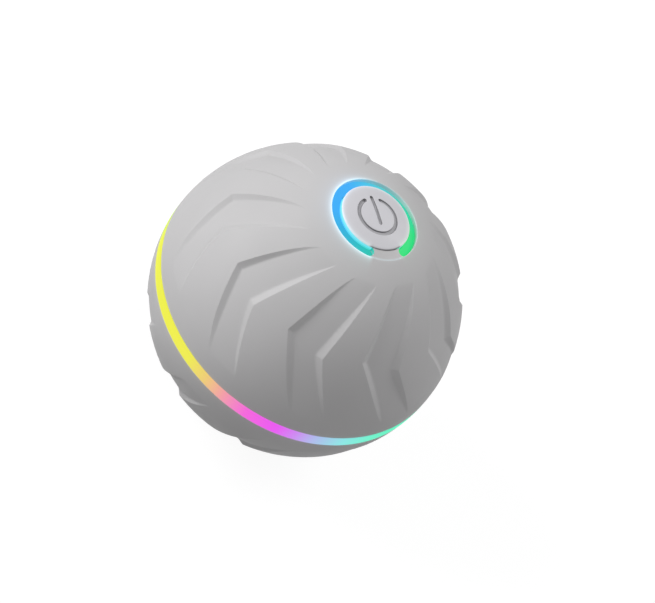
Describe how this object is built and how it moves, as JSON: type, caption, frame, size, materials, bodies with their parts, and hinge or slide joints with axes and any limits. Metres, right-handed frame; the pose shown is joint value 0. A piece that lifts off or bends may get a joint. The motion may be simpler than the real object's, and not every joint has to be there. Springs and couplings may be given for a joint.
{
  "type": "self-rolling dog ball",
  "caption": "Battery-driven toy ball that rolls by itself: soft chevron-tread covers, a lit equator ring, a power button with a C-shaped light, and a motor that swings a weight inside.",
  "frame": {"origin": "centre of the ball", "axes": "+Z out through the power button, along the axis that the inner weight turns about; the charging port is at -Z; longitude 0 of the tread is the -Y side"},
  "size_m": [0.08, 0.08, 0.08],
  "materials": {
    "tread_rubber": "matte",
    "shell_plastic": "matte",
    "light_guide_rainbow": "satin",
    "light_guide_blue": "satin",
    "button_plastic": "matte",
    "silicone": "matte",
    "plug_silicone": "matte",
    "board_green": "satin",
    "strip_film": "satin",
    "diode": "gloss",
    "chip_black": "matte",
    "socket_white": "satin",
    "chassis_plastic": "matte",
    "gear_case_plastic": "matte",
    "gear_nylon": "satin",
    "brass": "satin",
    "steel": "satin",
    "screw_steel": "satin",
    "motor_steel": "satin",
    "cast_weight": "matte",
    "magnet": "matte",
    "laminations": "matte",
    "copper": "satin",
    "cell_wrap": "gloss",
    "nickel": "satin",
    "foam": "matte",
    "ferrite": "matte",
    "capacitor_can": "satin",
    "cable_jacket": "satin",
    "lead_jacket": "satin"
  },
  "bodies": {
    "ball": {"upper_tread_cover": "tread_rubber", "lower_tread_cover": "tread_rubber", "upper_shell": "shell_plastic", "lower_shell": "shell_plastic", "equator_light_ring": "light_guide_rainbow", "equator_light_strip": "strip_film", "equator_diodes": "diode", "button_boot": "silicone", "button_bezel": "button_plastic", "power_light_ring": "light_guide_blue", "button_board": "board_green", "button_diodes": "diode", "tact_switch": "chip_black", "button_board_screws": "screw_steel", "chassis": "chassis_plastic", "chassis_screws": "screw_steel", "gear_case": "gear_case_plastic", "gear_case_screws": "screw_steel", "gear_axles": "steel", "shaft_bushes": "brass", "battery_cell": "cell_wrap", "battery_tabs": "nickel", "battery_foam": "foam", "motor_can": "motor_steel", "motor_end_cap": "chip_black", "motor_magnets": "magnet", "motor_terminals": "copper", "motor_screws": "screw_steel", "main_board": "board_green", "main_board_screws": "screw_steel", "board_chips": "chip_black", "power_inductor": "ferrite", "vibration_switch": "capacitor_can", "board_capacitors": "capacitor_can", "board_sockets": "socket_white", "charge_board": "board_green", "charge_board_screws": "screw_steel", "charge_cable_socket": "socket_white", "charging_socket": "steel", "charging_contacts": "chip_black", "port_gasket": "silicone", "charge_cable": "cable_jacket", "light_cable": "cable_jacket", "button_cable": "cable_jacket", "motor_leads": "lead_jacket"},
    "pendulum": {"eccentric_weight": "cast_weight", "pendulum_arm": "motor_steel", "output_shaft": "steel", "output_gear": "gear_nylon", "weight_screws": "screw_steel", "arm_screw": "screw_steel"},
    "second_gear": {"second_reduction_gear": "gear_nylon"},
    "first_gear": {"first_reduction_gear": "gear_nylon"},
    "motor_rotor": {"motor_shaft": "steel", "motor_pinion": "brass", "motor_armature": "laminations", "motor_commutator": "copper"},
    "button": {"power_button": "button_plastic", "switch_plunger": "chip_black"},
    "plug": {"port_plug": "plug_silicone"}
  },
  "joints": [
    {"name": "weight_swing", "type": "hinge", "parent": "ball", "child": "pendulum", "pos_m": [0, 0, 0], "axis": [0, 0, 1], "continuous": true},
    {"name": "second_gear_spin", "type": "hinge", "parent": "ball", "child": "second_gear", "pos_m": [0.0026, -0.00991, 0], "axis": [0, 0, 1], "continuous": true},
    {"name": "first_gear_spin", "type": "hinge", "parent": "ball", "child": "first_gear", "pos_m": [-0.00508, -0.00767, 0], "axis": [0, 0, 1], "continuous": true},
    {"name": "motor_spin", "type": "hinge", "parent": "ball", "child": "motor_rotor", "pos_m": [-0.0085, 0, 0], "axis": [0, 0, 1], "continuous": true},
    {"name": "button_press", "type": "slide", "parent": "ball", "child": "button", "axis": [0, 0, -1], "range_m": [0, 0.0005], "stiffness_N_per_m": 1500, "springref_m": -0.0008, "deforming": ["button_boot"]},
    {"name": "port_plug_pull", "type": "slide", "parent": "ball", "child": "plug", "axis": [0, 0, -1], "range_m": [0, 0.012]}
  ],
  "couplings": [
    {"joint": "second_gear_spin", "follows": "weight_swing", "ratio": -2.4167},
    {"joint": "first_gear_spin", "follows": "weight_swing", "ratio": 7.25},
    {"joint": "motor_spin", "follows": "weight_swing", "ratio": -23.2}
  ]
}
